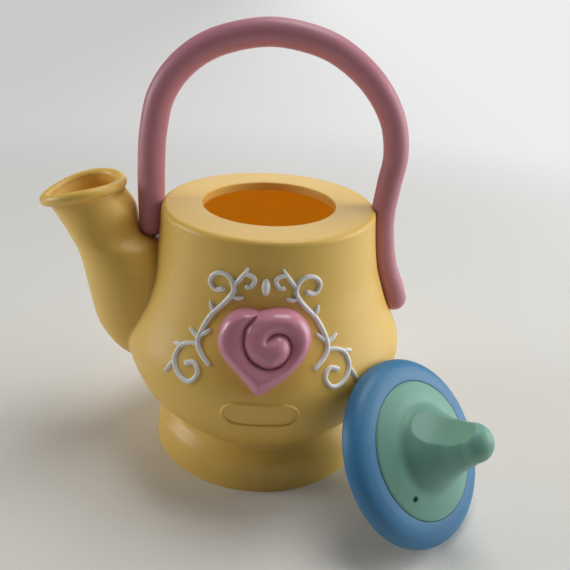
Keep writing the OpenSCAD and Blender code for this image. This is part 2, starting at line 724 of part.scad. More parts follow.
module lid_knob() {
    ball_z = knob_h - knob_r;
    line = [for (q = knob_share) [q[0] * knob_foot_r, knob_foot_h + q[1] * (ball_z - knob_foot_h)]];
    color("#78af96")
        lid_place()
            difference() {
                union() {
                    rotate_extrude()
                        polygon(concat([[0, web_z + clear], [knob_foot_r, web_z + clear],
                                        [knob_foot_r, knob_foot_h]], line,
                                       [[knob_r, ball_z], [0, ball_z]]));
                    translate([0, 0, ball_z])
                        sphere(r = knob_r);
                }
                // Hollow of the foot round its screw post
                rotate_extrude()
                    polygon([[2 * screw_d, web_z - over], [knob_foot_r - wall, web_z - over],
                             [knob_foot_r - wall, knob_foot_h - wall / 2],
                             [0.64 * knob_foot_r, knob_foot_h + wall / 2], [2 * screw_d, knob_foot_h + wall]]);
                // Finger scoop
                rotate([0, 0, scoop_turn]) {
                    intersection() {
                        translate([-scoop_out - scoop_r, 0, scoop_z])
                            rotate([90, 0, 0])
                                cylinder(r = scoop_r, h = knob_foot_d, center = true);
                        translate([-knob_foot_d, -knob_foot_r, 0])
                            cube([knob_foot_d, knob_foot_d, scoop_z]);
                    }
                    translate([-scoop_out - scoop_end_r, 0, scoop_z])
                        rotate([90, 0, 0])
                            cylinder(r = scoop_end_r, h = knob_foot_d, center = true);
                }
                rotate([0, 0, steam_turn])
                    translate([steam_share * knob_foot_r, 0, 0])
                        cylinder(r = steam_d / 2, h = knob_h);
                translate([0, 0, web_z - over])
                    cylinder(r = screw_r + clear / 2, h = knob_screw_l + over);
            }
}

module lid_screw() {
    color("#b9bcc0")
        lid_place()
            translate([0, 0, web_z - wall])
                rotate([180, 0, 0])
                    screw(knob_screw_l);
}

front_shell();
rear_shell();
handle();
heart();
scroll_left();
scroll_right();
scroll_drop();
shell_screws();
lid_disc();
lid_knob();
lid_screw();
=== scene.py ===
# Toy teapot: a butter-yellow pot moulded in two shells, with a pink arch handle, a pink heart between
# white scrolls and a loose blue and green lid that stands on its edge against the belly.
# Every size is in millimetres and becomes metres when a mesh is made.
import math

import bmesh
import bpy
import numpy as np
from mathutils import Matrix, Vector


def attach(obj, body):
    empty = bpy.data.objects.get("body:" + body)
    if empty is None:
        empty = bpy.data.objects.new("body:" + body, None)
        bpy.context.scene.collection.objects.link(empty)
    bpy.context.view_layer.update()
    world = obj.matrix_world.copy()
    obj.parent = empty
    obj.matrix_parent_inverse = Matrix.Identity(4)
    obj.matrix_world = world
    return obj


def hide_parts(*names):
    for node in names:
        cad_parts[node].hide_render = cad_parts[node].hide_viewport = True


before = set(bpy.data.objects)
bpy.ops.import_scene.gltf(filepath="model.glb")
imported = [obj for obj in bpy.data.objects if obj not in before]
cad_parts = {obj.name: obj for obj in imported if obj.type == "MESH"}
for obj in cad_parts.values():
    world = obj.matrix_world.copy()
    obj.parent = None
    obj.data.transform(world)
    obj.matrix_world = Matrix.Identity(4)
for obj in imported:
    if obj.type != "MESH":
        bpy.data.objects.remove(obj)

scene = bpy.context.scene
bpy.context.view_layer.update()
mm = 0.001
rodSides = 48


# Lines and meshes

def smoothLine(points, steps):
    p = np.array(points, float)
    p = np.vstack([2 * p[0] - p[1], p, 2 * p[-1] - p[-2]])
    line = []
    for i in range(1, len(p) - 2):
        a, b, c, d = p[i - 1:i + 3]
        for t in np.arange(steps) / steps:
            bend = 2 * a - 5 * b + 4 * c - d
            twist = 3 * b - a - 3 * c + d
            line.append(b + t / 2 * (c - a) + t ** 2 / 2 * bend + t ** 3 / 2 * twist)
    line.append(p[-2])
    return np.array(line)


def unit(v):
    return v / np.maximum(np.linalg.norm(v, axis=-1, keepdims=True), 1e-9)


def headings(line):
    ahead = np.vstack([line[1:], line[-1:]])
    behind = np.vstack([line[:1], line[:-1]])
    return unit(ahead - behind)


def beside(line, distance):
    d = headings(line)
    return line + distance * np.stack([-d[:, 1], d[:, 0]], axis=1)


def arc(centre, radius, start, end, steps):
    a = np.radians(np.linspace(start, end, steps + 1))
    return np.stack([centre[0] + radius * np.cos(a), centre[1] + radius * np.sin(a)], axis=1)


def newObject(name, data):
    obj = bpy.data.objects.new(name, data)
    scene.collection.objects.link(obj)
    return obj


def makeObject(name, points, faces):
    mesh = bpy.data.meshes.new(name)
    mesh.from_pydata((np.asarray(points, float) * mm).tolist(), [], faces)
    mesh.validate()
    obj = newObject(name, mesh)
    faceOutward(obj)
    return obj


def faceOutward(obj):
    bm = bmesh.new()
    bm.from_mesh(obj.data)
    bmesh.ops.recalc_face_normals(bm, faces=bm.faces)
    bm.to_mesh(obj.data)
    bm.free()


# Faces with four sides between m rings of n points; where closed, the last ring meets the first
def quads(m, n, closed=False):
    faces = []
    for i in range(m if closed else m - 1):
        a = i * n
        b = (i + 1) % m * n
        for k in range(n):
            j = (k + 1) % n
            faces.append((a + k, a + j, b + j, b + k))
    return faces


# A closed solid over rings of points, its two ends closed round their middles
def lofted(name, rings):
    rings = np.asarray(rings, float)
    m, n = rings.shape[:2]
    points = np.vstack([rings.reshape(-1, 3), rings[0].mean(0), rings[-1].mean(0)])
    faces = quads(m, n)
    for k in range(n):
        j = (k + 1) % n
        faces.append((m * n, j, k))
        faces.append((m * n + 1, (m - 1) * n + k, (m - 1) * n + j))
    return makeObject(name, points, faces)


# A turned solid: its outline of radius and height starts and ends on the axis
def turned(name, outline, segments):
    outline = np.asarray(outline, float)
    a = 2 * np.pi * (np.arange(segments) + 0.5) / segments
    rings = [np.stack([r * np.cos(a), r * np.sin(a), np.full(segments, z)], axis=1)
             for r, z in outline if r > 0.001]
    return lofted(name, rings)


# Round sections across a line with headings d; side is a way across it
def sections(line, radius, d, side, a):
    lift = np.cross(d, side)
    return line[:, None] + radius * (np.cos(a)[None, :, None] * side[:, None]
                                     + np.sin(a)[None, :, None] * lift[:, None])


# A closed ring of round sections along a closed line
def roundRing(name, line, radius, sides):
    d = unit(np.roll(line, -1, axis=0) - np.roll(line, 1, axis=0))
    side = unit(np.cross(d, line.mean(0) - line))
    points = sections(line, radius, d, side, 2 * np.pi * np.arange(sides) / sides)
    return makeObject(name, points.reshape(-1, 3), quads(len(line), sides, closed=True))


# A line with a radius at each point gets a round end at both its ends
def roundEnds(path, steps=8):
    path = np.asarray(path, float)
    d = headings(path[:, :3])
    turns = np.radians(np.linspace(88, 90 / steps, steps))
    head = [[*(path[0, :3] - path[0, 3] * math.sin(t) * d[0]), path[0, 3] * math.cos(t)] for t in turns]
    tail = [[*(path[-1, :3] + path[-1, 3] * math.sin(t) * d[-1]), path[-1, 3] * math.cos(t)]
            for t in turns[::-1]]
    return np.vstack([head, path, tail])


def tube(name, path, sides, across=(0, 1, 0)):
    d = headings(path[:, :3])
    side = unit(np.cross(d, np.array(across, float)))
    a = 2 * np.pi * (np.arange(sides) + 0.5) / sides
    return lofted(name, sections(path[:, :3], path[:, None, 3:4], d, side, a))


def rod(name, start, end, radius):
    path = np.array([[*start, radius], [*end, radius]], float)
    along = Vector(end) - Vector(start)
    across = (0, 1, 0) if abs(along.normalized().y) < 0.9 else (1, 0, 0)
    return tube(name, path, rodSides, across)


def block(name, low, high):
    points = [(x, y, z) for x in (low[0], high[0]) for y in (low[1], high[1]) for z in (low[2], high[2])]
    faces = [(0, 1, 3, 2), (4, 6, 7, 5), (0, 4, 5, 1), (2, 3, 7, 6), (0, 2, 6, 4), (1, 5, 7, 3)]
    return makeObject(name, points, faces)


def bakeModifiers(obj):
    graph = bpy.context.evaluated_depsgraph_get()
    graph.update()
    mesh = bpy.data.meshes.new_from_object(obj.evaluated_get(graph))
    obj.modifiers.clear()
    old = obj.data
    obj.data = mesh
    bpy.data.meshes.remove(old)


def combine(target, tool, operation):
    cut = target.modifiers.new("cut", "BOOLEAN")
    cut.operation = operation
    cut.solver = "MANIFOLD"
    cut.object = tool
    bakeModifiers(target)
    bpy.data.objects.remove(tool)


def joined(name, parts):
    bm = bmesh.new()
    for part in parts:
        bm.from_mesh(part.data)
    mesh = bpy.data.meshes.new(name)
    bm.to_mesh(mesh)
    bm.free()
    for part in parts:
        bpy.data.objects.remove(part)
    return newObject(name, mesh)


def readPoints(obj):
    co = np.zeros(len(obj.data.vertices) * 3)
    obj.data.vertices.foreach_get("co", co)
    return co.reshape(-1, 3) / mm


def writePoints(obj, points):
    obj.data.vertices.foreach_set("co", (points * mm).ravel())
    obj.data.update()


# Makes a solid one skin of even cells, and relaxes it so that its sharp edges grow soft
def melt(obj, cell, relax):
    remesh = obj.modifiers.new("melt", "REMESH")
    remesh.mode = "VOXEL"
    remesh.voxel_size = cell * mm
    ease = obj.modifiers.new("ease", "SMOOTH")
    ease.iterations = relax
    ease.factor = 0.5
    bakeModifiers(obj)


# Smooth shading with edges sharp past an angle, a material, and the piece's place in the part
def finishPiece(obj, body, nodes, material=None, angle=35):
    obj.data.polygons.foreach_set("use_smooth", [True] * len(obj.data.polygons))
    obj.data.set_sharp_from_angle(angle=math.radians(angle))
    if material:
        obj.data.materials.clear()
        obj.data.materials.append(material)
    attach(obj, body)
    if nodes:
        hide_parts(*nodes)
    print("made", obj.name, len(obj.data.polygons), "faces")


# Materials

# What the plastics share: slow drift of the colour, worn patches, the mould's fine grain, coat, and the
# depth that light goes under the skin; noise scales are per metre, depths in metres
moulding = {
    "driftScale": 22.0, "driftDetail": 3.0, "patchScale": 70.0, "patchDetail": 5.0, "patchSpread": 0.035,
    "grainScale": 900.0, "grainDetail": 2.0, "grainDepth": 0.0002, "coatRoughness": 0.12, "ior": 1.49,
    "underDepth": 0.002, "underReach": (1.0, 0.6, 0.25),
}
screwFinish = {
    "colour": (0.55, 0.55, 0.57), "grainScale": 1500.0, "grainDetail": 2.0, "roughness": (0.25, 0.45),
}


def newMaterial(name):
    material = bpy.data.materials.new(name)
    material.use_nodes = True
    tree = material.node_tree
    return material, tree.nodes, tree.links, tree.nodes["Principled BSDF"]


# Noise over the piece's own place
def noiseOver(nodes, links, scale, detail):
    place = nodes.new("ShaderNodeTexCoord")
    noise = nodes.new("ShaderNodeTexNoise")
    noise.inputs["Scale"].default_value = scale
    noise.inputs["Detail"].default_value = detail
    links.new(place.outputs["Object"], noise.inputs["Vector"])
    return noise.outputs["Fac"]


# Takes a value from one span to another
def spanned(nodes, links, value, source, result, kind="LINEAR"):
    spread = nodes.new("ShaderNodeMapRange")
    spread.interpolation_type = kind
    for socket, limit in zip(("From Min", "From Max", "To Min", "To Max"), (*source, *result)):
        spread.inputs[socket].default_value = limit
    links.new(value, spread.inputs["Value"])
    return spread.outputs["Result"]


# A colour between two, by a factor
def tinted(nodes, links, factor, first, second):
    tint = nodes.new("ShaderNodeMix")
    tint.data_type = "RGBA"
    tint.inputs["A"].default_value = (*first, 1)
    tint.inputs["B"].default_value = (*second, 1)
    links.new(factor, tint.inputs["Factor"])
    return tint.outputs["Result"]


# Bumps of a height field, their depth in metres
def bumped(nodes, links, height, strength, depth):
    relief = nodes.new("ShaderNodeBump")
    relief.inputs["Strength"].default_value = strength
    relief.inputs["Distance"].default_value = depth
    links.new(height, relief.inputs["Height"])
    return relief.outputs["Normal"]


# Moulded plastic; under is the share of the light that goes under the skin, and through is the colour and
# the strength of the light that comes through a thin wall
def plastic(name, colour, shade, roughness, bump=0.05, coat=0.0, under=0.0, through=None):
    material, nodes, links, skin = newMaterial(name)
    look = moulding
    drift = noiseOver(nodes, links, look["driftScale"], look["driftDetail"])
    links.new(tinted(nodes, links, drift, colour, shade), skin.inputs["Base Color"])
    patch = noiseOver(nodes, links, look["patchScale"], look["patchDetail"])
    span = (roughness - look["patchSpread"], roughness + look["patchSpread"])
    links.new(spanned(nodes, links, patch, (0, 1), span), skin.inputs["Roughness"])
    grain = noiseOver(nodes, links, look["grainScale"], look["grainDetail"])
    links.new(bumped(nodes, links, grain, bump, look["grainDepth"]), skin.inputs["Normal"])
    skin.inputs["Coat Weight"].default_value = coat
    skin.inputs["Coat Roughness"].default_value = look["coatRoughness"]
    skin.inputs["IOR"].default_value = look["ior"]
    if under:
        skin.inputs["Subsurface Weight"].default_value = under
        skin.inputs["Subsurface Scale"].default_value = look["underDepth"]
        skin.inputs["Subsurface Radius"].default_value = look["underReach"]
    if through:
        skin.inputs["Emission Color"].default_value = (*through[:3], 1)
        skin.inputs["Emission Strength"].default_value = through[3]
    return material


def steel(name):
    material, nodes, links, skin = newMaterial(name)
    skin.inputs["Base Color"].default_value = (*screwFinish["colour"], 1)
    skin.inputs["Metallic"].default_value = 1.0
    grain = noiseOver(nodes, links, screwFinish["grainScale"], screwFinish["grainDetail"])
    links.new(spanned(nodes, links, grain, (0, 1), screwFinish["roughness"]), skin.inputs["Roughness"])
    return material


yellowShell = plastic("yellowShell", (0.85, 0.56, 0.13), (0.82, 0.53, 0.115), 0.40, under=0.10)
# Inside of the walls: a deeper orange copy of the yellow with a faint glow, painted shade and painted light
# that stand for light bounced and passed through the yellow walls
paintedInsideGlow = plastic("paintedInsideGlow", (0.80, 0.44, 0.035), (0.72, 0.38, 0.028), 0.45,
                       through=(0.9, 0.45, 0.012, 0.13))
pinkGrip = plastic("pinkGrip", (0.59, 0.245, 0.305), (0.56, 0.225, 0.28), 0.44, bump=0.08)
pinkGloss = plastic("pinkGloss", (0.69, 0.285, 0.39), (0.66, 0.265, 0.365), 0.32, coat=0.4, bump=0.04,
                    under=0.22)
whitePaint = plastic("whitePaint", (0.88, 0.88, 0.87), (0.84, 0.84, 0.83), 0.34, coat=0.2)
blueRing = plastic("blueRing", (0.05, 0.215, 0.42), (0.044, 0.195, 0.385), 0.45)
sageKnob = plastic("sageKnob", (0.19, 0.42, 0.33), (0.175, 0.39, 0.305), 0.44, under=0.08)
screwSteel = steel("screwSteel")


# Pot outline

pot = {
    "height": 121.6, "bellyRadius": 65.4, "neckRadius": 46.5, "neckHeight": 21.0, "footRadius": 53.5,
    "openingRadius": 30.0, "openingRound": 0.7, "lipDepth": 4.0, "shoulderRadius": 2.5, "wall": 2.4,
    "seamGap": 0.1, "segments": 320,
    # radius as a share of the belly's, height of the pot's
    "bellyShare": [(0.781, 0.214), (0.885, 0.280), (0.945, 0.345), (0.986, 0.411), (1, 0.461),
                   (0.986, 0.510), (0.928, 0.576), (0.873, 0.641), (0.829, 0.707), (0.790, 0.773),
                   (0.768, 0.839), (0.752, 0.905)],
    "shoulderShare": 0.739,
    # radius as a share of the foot's, height of the neck's
    "footShare": [(1, 0), (0.985, 0.25), (0.974, 0.5), (0.955, 0.64), (0.912, 0.76), (0.876, 0.88)],
}
# How far the cutting blocks and rods reach, past all that they cut
cutter = {"side": 200.0, "low": -20.0, "high": 250.0, "boss": 90.0, "well": 80.0, "overrun": 1.0}
sideRadius = pot["shoulderShare"] * pot["bellyRadius"]
deckUnder = pot["height"] - pot["wall"]
lipRadius = pot["openingRadius"] + pot["wall"]
floorTop = pot["neckHeight"] + pot["wall"] / 2
floorBottom = pot["neckHeight"] - pot["wall"] / 2

neckPoint = [(pot["neckRadius"], pot["neckHeight"])]
footLine = smoothLine([(r * pot["footRadius"], z * pot["neckHeight"]) for r, z in pot["footShare"]]
                      + neckPoint, steps=4)
bellyLine = smoothLine(neckPoint + [(r * pot["bellyRadius"], z * pot["height"])
                                    for r, z in pot["bellyShare"]]
                       + [(sideRadius, pot["height"] - pot["shoulderRadius"])], steps=6)
shoulderLine = arc((sideRadius - pot["shoulderRadius"], pot["height"] - pot["shoulderRadius"]),
                   pot["shoulderRadius"], 0, 90, steps=8)
sideLine = np.vstack([footLine[:-1], bellyLine[:-1], shoulderLine])


def sideAt(z):
    return np.interp(z, bellyLine[:, 1], bellyLine[:, 0])


def sideSlope(z, step):
    return (sideAt(z + step) - sideAt(z - step)) / (2 * step)


# Points over the front: distance to the side of its middle line, height, and height off the side
def onSide(s, z, h=0.0):
    s, z, h = np.broadcast_arrays(np.asarray(s, float), np.asarray(z, float), np.asarray(h, float))
    r = sideAt(z)
    slope = sideSlope(z, step=1.5)
    out = 1 / np.sqrt(1 + slope ** 2)
    a = s / r
    reach = r + h * out
    return np.stack([reach * np.sin(a), -reach * np.cos(a), z - h * out * slope], axis=-1)


# Spout: rings from its root to its mouth, as shares of the way out, of the way up and of the tilt, half
# widths of the tube's radius, rise of the sides, and lift of the hollow's floor
spout = {
    "reach": 83.3, "mouthHeight": 123.4, "radius": 17.3, "tilt": 13.0, "rimRadius": 2.4, "rimRise": 2.0,
    "rootShare": (0.872, 0.354), "sides": 96, "steps": 6, "rimSteps": 160, "rimSides": 24,
    # the fillet to the pot: its width, which shrinks from one height to another, and its highest place
    "blend": 1.4, "blendHigh": 0.8, "blendFrom": 88.0, "blendTo": 103.0, "blendTop": 112.0,
    "ringShare": [(0, 0, 0, 0.23, 0.23, 0, 1), (0, 0.015, 0, 0.58, 0.64, 0, 1),
                  (0, 0.056, 0, 0.84, 0.90, 0, 0.9), (0, 0.132, 0, 1.11, 1.16, 0, 0.6),
                  (0.04, 0.234, 0, 1.30, 1.30, 0, 0.3), (0.095, 0.328, 0, 1.32, 1.30, 0, 0.1),
                  (0.15, 0.454, 0, 1.33, 1.32, 0, 0), (0.21, 0.583, 0, 1.33, 1.30, 0, 0),
                  (0.328, 0.650, 0.12, 1.218, 1.23, 0, 0), (0.42, 0.705, 0.23, 1.15, 1.18, 0, 0),
                  (0.495, 0.728, 0.27, 1.072, 1.16, 0, 0), (0.633, 0.762, 0.35, 0.928, 1.13, 0, 0),
                  (0.697, 0.805, 0.46, 0.921, 1.09, 0, 0), (0.785, 0.887, 0.77, 0.99, 1.04, 0.3, 0),
                  (0.94, 0.966, 1, 0.96, 1.01, 0.8, 0), (1, 1, 1, 0.99, 1.03, 1, 0)],
}


def spoutRings():
    share = smoothLine(spout["ringShare"], spout["steps"])
    x = spout["rootShare"][0] * pot["bellyRadius"]
    z = spout["rootShare"][1] * pot["height"]
    q = np.empty_like(share)
    q[:, 0] = x + share[:, 0] * (spout["reach"] - x)
    q[:, 1] = z + share[:, 1] * (spout["mouthHeight"] - z)
    q[:, 2] = np.radians(share[:, 2] * spout["tilt"])
    q[:, 3:5] = share[:, 3:5] * spout["radius"]
    q[:, 5] = share[:, 5] * spout["rimRise"]
    q[:, 6] = share[:, 6] * pot["wall"]
    return q


spoutLine = spoutRings()


def oval(q, inset, sides):
    a = 2 * np.pi * (np.arange(sides) + 0.5) / sides
    x = (q[3] - inset) * np.cos(a)
    rise = q[5] * np.sin(a) ** 2
    return np.stack([-q[0] + x * math.cos(q[2]) - rise * math.sin(q[2]), (q[4] - inset) * np.sin(a),
                     q[1] + x * math.sin(q[2]) + rise * math.cos(q[2])], axis=1)


# How far points lie outside the pot's side
def potDistance(p):
    r = np.hypot(p[:, 0], p[:, 1])
    z = np.clip(p[:, 2], bellyLine[0, 1], bellyLine[-1, 1])
    return (r - sideAt(z)) / np.sqrt(1 + sideSlope(z, step=1.0) ** 2)


# How far points lie outside the spout, measured in the plane of the ring that passes through each
def spoutDistance(p):
    q = spoutLine
    ahead = ((p[:, None, 0] + q[None, :, 0]) * -np.sin(q[None, :, 2])
             + (p[:, None, 2] - q[None, :, 1]) * np.cos(q[None, :, 2]))
    i = np.clip((ahead > 0).sum(1) - 1, 0, len(q) - 2)
    row = np.arange(len(p))
    step = ahead[row, i] - ahead[row, i + 1]
    t = np.clip(ahead[row, i] / np.maximum(step, 1e-6), 0, 1)[:, None]
    ring = q[i] * (1 - t) + q[i + 1] * t
    u = (p[:, 0] + ring[:, 0]) * np.cos(ring[:, 2]) + (p[:, 2] - ring[:, 1]) * np.sin(ring[:, 2])
    reach = np.hypot(u, p[:, 1])
    ratio = np.maximum(np.hypot(u / ring[:, 3], p[:, 1] / ring[:, 4]), 1e-6)
    out = reach * (1 - 1 / ratio)
    below = np.maximum(-ahead[:, 0], 0)
    return np.where(below > 0, np.hypot(np.maximum(out, 0), below), out)


# How a fillet is drawn: rounds, the step that measures slopes, and limits that keep the points calm
crease = {"rounds": 6, "probe": 0.05, "leastSlope": 0.3, "leastWay": 0.2, "mostStep": 0.8}


def steepness(distance, p):
    step = crease["probe"]
    return np.stack([(distance(p + e) - distance(p - e)) / (2 * step) for e in np.eye(3) * step], axis=1)


# Draws the points of a mesh near the crease of two forms out to a soft fillet
def softenCrease(obj, first, second, width):
    points = readPoints(obj)
    size = width(points)
    near = (np.abs(first(points)) < size) & (np.abs(second(points)) < size) & (size > 0)
    p = points[near]
    k = size[near]
    for _ in range(crease["rounds"]):
        slopeA = steepness(first, p)
        slopeB = steepness(second, p)
        a = first(p) / np.maximum(np.linalg.norm(slopeA, axis=1), crease["leastSlope"])
        b = second(p) / np.maximum(np.linalg.norm(slopeB, axis=1), crease["leastSlope"])
        h = np.clip(0.5 + 0.5 * (b - a) / k, 0, 1)
        field = b * (1 - h) + a * h - k * h * (1 - h)
        way = unit(slopeA) * h[:, None] + unit(slopeB) * (1 - h)[:, None]
        length = np.maximum((way ** 2).sum(1), crease["leastWay"])
        step = np.clip(field / length, -crease["mostStep"], crease["mostStep"])
        p = p - step[:, None] * way
    points[near] = p
    writePoints(obj, points)


# Handle: a tapered grip along a line in the plane of the seam
handle = {
    "radius": 5.8, "rise": 72.0, "nest": 1.6, "sides": 48, "steps": 9, "gap": 0.15,
    # points of the line, from each end, that can lie in the pot's wall
    "leftEnd": 19, "rightEnd": 46,
    "pegRadius": 2.0, "pegClearance": 0.1, "pegHeadShare": 1.5, "pegHeadGap": 0.1,
    "leftShare": [(-1.018, 0.894, 0.98)],
    "archShare": [(-1.011, 0.006, 1.03), (-1.002, 0.2, 1.03), (-0.975, 0.415, 1.02), (-0.899, 0.631, 1.01),
                  (-0.724, 0.808, 1), (-0.467, 0.933, 1), (-0.114, 1, 1), (0.190, 0.990, 1),
                  (0.495, 0.919, 0.99), (0.781, 0.762, 0.98), (0.971, 0.561, 0.96), (1.040, 0.346, 0.95),
                  (1.013, 0.144, 0.94)],
    "tailShare": [(0.992, 0.970, 0.94), (1.015, 0.863, 0.94), (1.070, 0.757, 0.95), (1.147, 0.674, 0.98),
                  (1.181, 0.625, 1.02)],
    "rightPegShare": (0.895, 0.72), "leftPegShare": 0.895,
}
legRadius = sideRadius + handle["radius"] - handle["nest"]


def handlePath():
    top = pot["height"]
    line = []
    for key, low, rise in (("leftShare", 0, top), ("archShare", top, handle["rise"]), ("tailShare", 0, top)):
        line += [(x * legRadius, 0, low + z * rise, r * handle["radius"]) for x, z, r in handle[key]]
    return smoothLine(line, handle["steps"])


handleLine = handlePath()


def handleBar(name, grow, part):
    path = handleLine[part].copy()
    path[:, 3] += grow
    return tube(name, roundEnds(path), handle["sides"])


leftEnd = slice(0, handle["leftEnd"])
rightEnd = slice(len(handleLine) - handle["rightEnd"], len(handleLine))


def legAt(z):
    leg = handleLine[rightEnd][::-1]
    return np.interp(z, leg[:, 2], leg[:, 0])


def handlePegs(grow):
    r = handle["pegRadius"] + grow
    places = [(legAt(share * pot["height"]), share * pot["height"]) for share in handle["rightPegShare"]]
    places.append((handle["leftShare"][0][0] * legRadius, handle["leftPegShare"] * pot["height"]))
    parts = []
    for x, z in places:
        side = 1 if x > 0 else -1
        seat = side * (abs(x) - handle["radius"] - pot["wall"] - handle["pegHeadGap"])
        parts.append((rod("peg", (x, 0, z), (seat - side * grow, 0, z), r),
                      rod("pegHead", (seat + side * grow, 0, z),
                          (seat - side * (handle["pegRadius"] + grow), 0, z), handle["pegHeadShare"] * r)))
    return parts


# Screws: their sizes, and their places in the seam, which are those of the frame
screws = {
    "radius": 1.5, "headRadius": 2.85, "bossRadius": 4.5, "seat": 6.0, "length": 16.0,
    "wellClearance": 0.2, "pilotClearance": 0.05,
    # the lower pair: share of the foot's inner radius, and of the neck's height
    "lowerShare": (0.86, 0.44),
}


def screwPlaces():
    upperX = lipRadius + screws["bossRadius"] - pot["wall"] / 2
    upperZ = deckUnder - screws["bossRadius"] - pot["wall"] / 2
    lowerX = screws["lowerShare"][0] * (pot["footRadius"] - pot["wall"])
    lowerZ = screws["lowerShare"][1] * pot["neckHeight"]
    return [(-upperX, upperZ), (upperX, upperZ), (-lowerX, lowerZ), (lowerX, lowerZ)]


# Scrolls: the half width, height and lowest place of their field; their strands are in shares of it, each
# point with its share of the bead's size
scrolls = {
    "reach": 40.0, "height": 50.0, "low": 60.0, "beadWidth": 2.0, "beadHeight": 1.2, "beadSides": 20,
    "steps": 6, "capTurns": (20, 40, 60, 75, 87),
    "stem": [(0.433, 0.808, 1.2), (0.515, 0.790, 1), (0.568, 0.836, 1), (0.560, 0.888, 1),
             (0.505, 0.926, 1), (0.425, 0.938, 1), (0.355, 0.910, 1), (0.323, 0.860, 1.05),
             (0.315, 0.812, 1.15), (0.350, 0.754, 1.2), (0.433, 0.676, 1.15), (0.538, 0.592, 1.15),
             (0.625, 0.488, 1.2), (0.680, 0.396, 1.2), (0.693, 0.330, 1.15), (0.650, 0.266, 1.1),
             (0.560, 0.204, 1)],
    "lowerCurl": [(0.690, 0.330, 0.9), (0.803, 0.314, 1), (0.905, 0.274, 1.05), (0.970, 0.196, 1.05),
                  (0.975, 0.132, 1.05), (0.925, 0.072, 1.05), (0.838, 0.038, 1.05), (0.758, 0.044, 1),
                  (0.685, 0.104, 1), (0.690, 0.156, 1), (0.738, 0.186, 1), (0.818, 0.164, 1.25)],
    "bud": [(0.318, 0.850, 0.9), (0.245, 0.920, 1), (0.175, 1.004, 0.6)],
    "smallCurl": [(0.215, 0.955, 0.8), (0.175, 0.957, 1), (0.122, 0.938, 1), (0.105, 0.904, 1),
                  (0.135, 0.862, 1), (0.175, 0.854, 1.15)],
    "leaves": [[(0.325, 0.760, 0.9), (0.270, 0.752, 1), (0.228, 0.762, 0.8)],
               [(0.520, 0.605, 0.9), (0.545, 0.640, 1), (0.560, 0.674, 0.8)],
               [(0.690, 0.375, 0.9), (0.745, 0.400, 1), (0.788, 0.424, 0.8)],
               [(0.665, 0.400, 0.9), (0.610, 0.430, 1), (0.565, 0.458, 0.8)],
               [(0.890, 0.278, 0.9), (0.945, 0.278, 1), (0.995, 0.268, 0.8)],
               [(0.975, 0.155, 0.9), (1.035, 0.100, 1), (1.090, 0.048, 0.8)]],
    # an oval drop: distance, lowest and highest height as shares, and width in beads
    "drop": (0.008, 0.792, 0.932, 1.85), "dropPoints": 40, "dropEnd": 2.0,
}
# Plate under the heart, left bare, with a thin bead round it
plate = {
    "widthShare": 0.40, "heightShare": 0.12, "middleShare": 0.417, "beadShare": 0.8, "turnSteps": 16,
    "flatPoints": 13,
}


# Node tree that sweeps an oval section along lines; each point has its own share of the size, and way out
def sweepTree(material):
    tree = bpy.data.node_groups.new("sweptSection", "GeometryNodeTree")
    face = tree.interface
    face.new_socket("Lines", in_out="INPUT", socket_type="NodeSocketGeometry")
    for name in ("Section Width", "Section Height"):
        face.new_socket(name, in_out="INPUT", socket_type="NodeSocketFloat")
    face.new_socket("Sides", in_out="INPUT", socket_type="NodeSocketInt")
    face.new_socket("Sweep", in_out="OUTPUT", socket_type="NodeSocketGeometry")
    add = tree.nodes.new
    start = add("NodeGroupInput")
    end = add("NodeGroupOutput")
    curves = add("GeometryNodeMeshToCurve")
    wayOut = add("GeometryNodeInputNamedAttribute")
    wayOut.data_type = "FLOAT_VECTOR"
    wayOut.inputs["Name"].default_value = "wayOut"
    share = add("GeometryNodeInputNamedAttribute")
    share.inputs["Name"].default_value = "share"
    turn = add("GeometryNodeSetCurveNormal")
    turn.mode = "FREE"
    section = add("GeometryNodeCurvePrimitiveCircle")
    section.inputs["Radius"].default_value = 1.0
    halve = add("ShaderNodeMath")
    halve.operation = "MULTIPLY"
    halve.inputs[1].default_value = 0.5
    size = add("ShaderNodeCombineXYZ")
    size.inputs["Z"].default_value = 1.0
    squash = add("GeometryNodeTransform")
    sweep = add("GeometryNodeCurveToMesh")
    sweep.inputs["Fill Caps"].default_value = True
    smooth = add("GeometryNodeSetShadeSmooth")
    real = add("GeometryNodeRealizeInstances")
    paint = add("GeometryNodeSetMaterial")
    paint.inputs["Material"].default_value = material
    wires = [
        (start, "Lines", curves, "Mesh"), (curves, "Curve", turn, "Curve"),
        (wayOut, "Attribute", turn, "Normal"), (start, "Sides", section, "Resolution"),
        (start, "Section Width", halve, 0), (start, "Section Height", size, "X"),
        (halve, "Value", size, "Y"), (section, "Curve", squash, "Geometry"),
        (size, "Vector", squash, "Scale"), (turn, "Curve", sweep, "Curve"),
        (squash, "Geometry", sweep, "Profile Curve"), (share, "Attribute", sweep, "Scale"),
        (sweep, "Mesh", smooth, "Geometry"), (smooth, "Geometry", real, "Geometry"),
        (real, "Geometry", paint, "Geometry"), (paint, "Geometry", end, "Sweep"),
    ]
    for source, output, taker, socket in wires:
        tree.links.new(source.outputs[output], taker.inputs[socket])
    return tree


